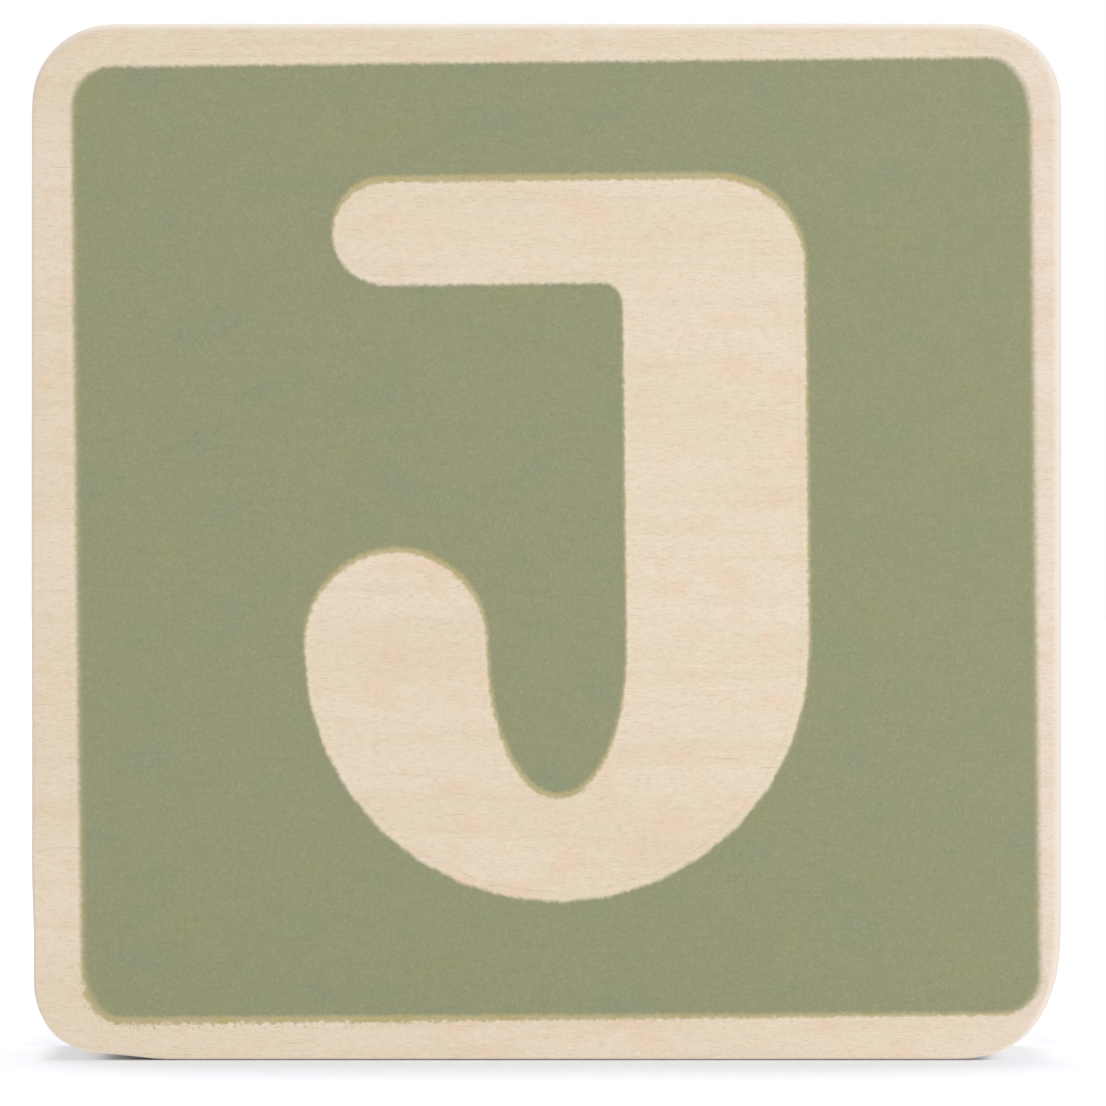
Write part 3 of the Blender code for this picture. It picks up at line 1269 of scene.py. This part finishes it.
@dataclass
class Studio:
    """A pale floor, soft light and the camera, straight in front of the printed face."""

    low: Vector  # the lower and the upper corner of the front panel
    high: Vector
    round_end: float = 5.6 * MM  # from the car's sides to where its round corners come down to the floor
    view_right: float = 0.49 * MM  # how far right of the face's middle the camera points
    view_down: float = 0.89 * MM  # and how far below it
    view_width: float = 85.85 * MM  # what the picture shows across at the printed face
    distance: float = 0.6
    sensor: float = 36.0
    near_clip: float = 0.01
    white: str = "#FFFFFF"
    floor_size: float = 8.0
    floor_white: str = "#EEF1FA"  # how the floor looks
    floor_shade: str = "#D9E6FD"  # how it looks under the car's round corners, against the wood's warm glow
    floor_glow: float = 0.286  # added to how it looks
    far_glow: float = 0.035  # added besides further from the car
    far_span: Span = (5.0 * MM, 25.0 * MM)  # distance from it over which that begins
    right_glow: float = 0.12  # added besides under the corner on the key light's side
    back_shade: float = 0.2  # taken away behind the round corners
    # parts of the floor, measured outwards from the footprint's ends, front and back
    corner_zone: Zone = (
        ("end", -1.5 * MM, 0.0),
        ("end", 5.8 * MM, 2.6 * MM),
        ("front", 2.0 * MM, 0.0),
    )
    under_zone: Zone = corner_zone + (("back", 1.0 * MM, -2.6 * MM),)
    behind_zone: Zone = (
        ("end", 0.0, 2.0 * MM),
        ("end", 13.0 * MM, 4.6 * MM),
        ("back", -2.6 * MM, 1.0 * MM),
        ("back", 50.0 * MM, 14.0 * MM),
    )
    floor_bounce: str = "#7C7D7E"  # how it lights the car, so that the face isn't lit from below
    floor_lift: float = 0.65  # light that it sends up evenly besides
    contact: float = 0.1 * MM  # no light is sent up under the car, and all of it from here on
    contact_shadow_reach: float = 1.3 * MM  # painted contact shadow: the glow that shows is full from here on
    shadow_ends: float = 3.4 * MM  # for this painted shadow the footprint stops this far short at both ends
    shadow_stretch: float = 0.25  # and lengths count for this much there, so that the painted shadow fades slowly
    ambient: float = 0.46
    overhead: float = 1.55  # a soft light from above and a little behind
    overhead_angle: float = math.radians(40.0)
    overhead_tilt: float = math.radians(14.0)
    softbox_height: float = 0.08
    softboxes: tuple[tuple[str, tuple[float, float, float], float, float], ...] = (
        # name, place, width and power in watts; both stand low, so that the face is lit evenly
        ("key_softbox", (0.45, -0.50, 0.045), 0.4, 1.58),
        ("fill_softbox", (-0.55, -0.60, 0.045), 0.4, 0.34),
    )

    @property
    def base(self) -> Vector:
        """Half the size of the car's footprint."""
        return Vector((self.high.x - self.round_end, -self.low.y, 0.0))

    @property
    def aim(self) -> Vector:
        """The place on the printed face that the camera points at."""
        middle = (self.low + self.high) / 2
        return Vector((middle.x + self.view_right, self.low.y, middle.z - self.view_down))

    def build(self) -> None:
        """Sets up the floor, the world, the lamps and the camera."""
        self._floor()
        self._world()
        self._lamps()
        self._camera()
        bpy.context.scene.view_settings.view_transform = "Standard"

    def _place(self, name: str, data: bpy.types.ID) -> Piece:
        """Adds an object with this data to the scene."""
        placed = bpy.data.objects.new(name, data)
        bpy.context.scene.collection.objects.link(placed)
        return placed

    def _lamps(self) -> None:
        """Hangs the overhead light and stands the softboxes, turned to the printed face."""
        above = bpy.data.lights.new("overhead", "SUN")
        above.energy = self.overhead
        above.angle = self.overhead_angle
        self._place("overhead", above).rotation_euler = (-self.overhead_tilt, 0.0, 0.0)
        for name, place, width, power in self.softboxes:
            lamp = bpy.data.lights.new(name, "AREA")
            lamp.shape = "RECTANGLE"
            lamp.size = width
            lamp.size_y = self.softbox_height
            lamp.energy = power
            softbox = self._place(name, lamp)
            softbox.location = place
            towards = self.aim - softbox.location
            softbox.rotation_euler = towards.to_track_quat("-Z", "Y").to_euler()

    def _camera(self) -> None:
        """Stands the camera straight in front of the printed face."""
        lens = bpy.data.cameras.new("camera")
        lens.sensor_width = self.sensor
        lens.lens = self.distance * self.sensor / self.view_width
        lens.clip_start = self.near_clip
        camera = self._place("camera", lens)
        camera.location = self.aim - Vector((0.0, self.distance, 0.0))
        camera.rotation_euler = (math.pi / 2, 0.0, 0.0)
        bpy.context.scene.camera = camera

    def _seen(self, tree: Tree) -> Socket:
        """Gives 1 to rays that show the background: from the camera, in gloss and through glass."""
        path = add_node(tree, "ShaderNodeLightPath").node.outputs
        seen = path["Is Camera Ray"]
        for ray in ("Is Glossy Ray", "Is Transmission Ray"):
            seen = maths(tree, "MAXIMUM", seen, path[ray])
        return seen

    def _clear(self, tree: Tree, ends: float = 0.0, stretch: float = 1.0) -> Socket:
        """Gives how far a place on the floor is from the car's footprint.

        Args:
            tree: the floor's material tree.
            ends: how far the footprint stops short at both ends.
            stretch: how much a length counts beyond them.

        Returns:
            The distance.
        """
        folded = vectors(tree, "ABSOLUTE", object_place(tree))
        touching = self.base - Vector((ends, 0.0, 0.0))
        past = vectors(tree, "SUBTRACT", folded, touching)
        outside = vectors(tree, "MAXIMUM", past, (0.0, 0.0, 0.0))
        counted = vectors(tree, "MULTIPLY", outside, (stretch, 1.0, 1.0))
        return vectors(tree, "LENGTH", counted)

    def _zone(self, tree: Tree, zone: Zone) -> Socket:
        """Gives 1 on a part of the floor at both ends of the car, fading out round it."""
        axes = axes_of(tree, object_place(tree))
        sideways = maths(tree, "ABSOLUTE", axes["X"])
        outwards = {
            "end": maths(tree, "SUBTRACT", sideways, self.base.x),
            "front": maths(tree, "SUBTRACT", -self.base.y, axes["Y"]),
            "back": maths(tree, "SUBTRACT", axes["Y"], self.base.y),
        }
        return zone_share(tree, outwards, zone, smooth=True)

    def _floor(self) -> None:
        """Lays a white floor that keeps the object's shadow."""
        half = self.floor_size / 2
        corners = ((-half, -half), (half, -half), (half, half), (-half, half))
        mesh = bpy.data.meshes.new("floor")
        mesh.from_pydata([(x, y, -WELD) for x, y in corners], [], [(0, 1, 2, 3)])
        mesh.materials.append(self._paper())
        self._place("floor", mesh)

    def _paper(self) -> Material:
        """Makes the floor's material, which looks white and lights the car as grey paper does."""
        paper = bpy.data.materials.new("white_paper")
        paper.use_nodes = True
        tree = paper.node_tree
        tree.nodes.clear()
        seen = self._seen(tree)
        look = blend(tree, self._zone(tree, self.under_zone), self.floor_white, self.floor_shade)
        shade = blend(tree, seen, self.floor_bounce, look)
        matt = add_node(tree, "ShaderNodeBsdfDiffuse", {"Color": shade})
        sent_up = ramp(tree, self._clear(tree), 0.0, self.contact, end=self.floor_lift)
        strength = ramp(tree, seen, 0.0, 1.0, start=sent_up, end=self._shown_glow(tree))
        light = {"Color": hex_to_linear(self.white), "Strength": strength}
        glow = add_node(tree, "ShaderNodeEmission", light)
        paper_white = add_node(tree, "ShaderNodeAddShader", {0: matt, 1: glow})
        add_node(tree, "ShaderNodeOutputMaterial", {"Surface": paper_white})
        return paper

    def _shown_glow(self, tree: Tree) -> Socket:
        """Gives the glow that the floor shows, with painted shade: fainter next to the car's foot and
        behind the round corners.
        """
        clear = self._clear(tree, self.shadow_ends, self.shadow_stretch)
        # painted contact shadow: less glow close to the car's foot
        contact_shaded = ramp(tree, clear, 0.0, self.contact_shadow_reach, end=self.floor_glow)
        far = ramp(tree, clear, *self.far_span, start=contact_shaded, end=self.floor_glow + self.far_glow)
        across = axes_of(tree, object_place(tree))["X"]
        right = ramp(tree, across, 0.0, self.base.x, end=self.right_glow)
        corners = self._zone(tree, self.corner_zone)
        lit = maths(tree, "MULTIPLY_ADD", corners, right, far)
        behind = self._zone(tree, self.behind_zone)
        return maths(tree, "MULTIPLY_ADD", behind, -self.back_shade, lit)

    def _world(self) -> None:
        """Makes a world that is white to look at and softer as a light."""
        world = bpy.data.worlds.new("studio")
        world.use_nodes = True
        tree = world.node_tree
        tree.nodes.clear()
        strength = ramp(tree, self._seen(tree), 0.0, 1.0, start=self.ambient, end=1.0)
        light = {"Color": hex_to_linear(self.white), "Strength": strength}
        sky = add_node(tree, "ShaderNodeBackground", light)
        add_node(tree, "ShaderNodeOutputWorld", {"Surface": sky})
        bpy.context.scene.world = world


def main() -> None:
    """Builds the car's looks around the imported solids, then the studio round it."""
    logging.basicConfig(level=logging.INFO, format="%(message)s")
    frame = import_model()
    nodes = frame["nodes"]
    low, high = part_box("front_panel")
    pieces = [
        *TileBoard(nodes).build(),
        *PrintedFace(nodes).build(),
        *CouplingMagnets(nodes).dress(),
    ]
    for piece in pieces:
        LOG.info("%s: %d faces", piece.name, len(piece.data.polygons))
    Studio(low, high).build()


if __name__ == "__main__":
    main()
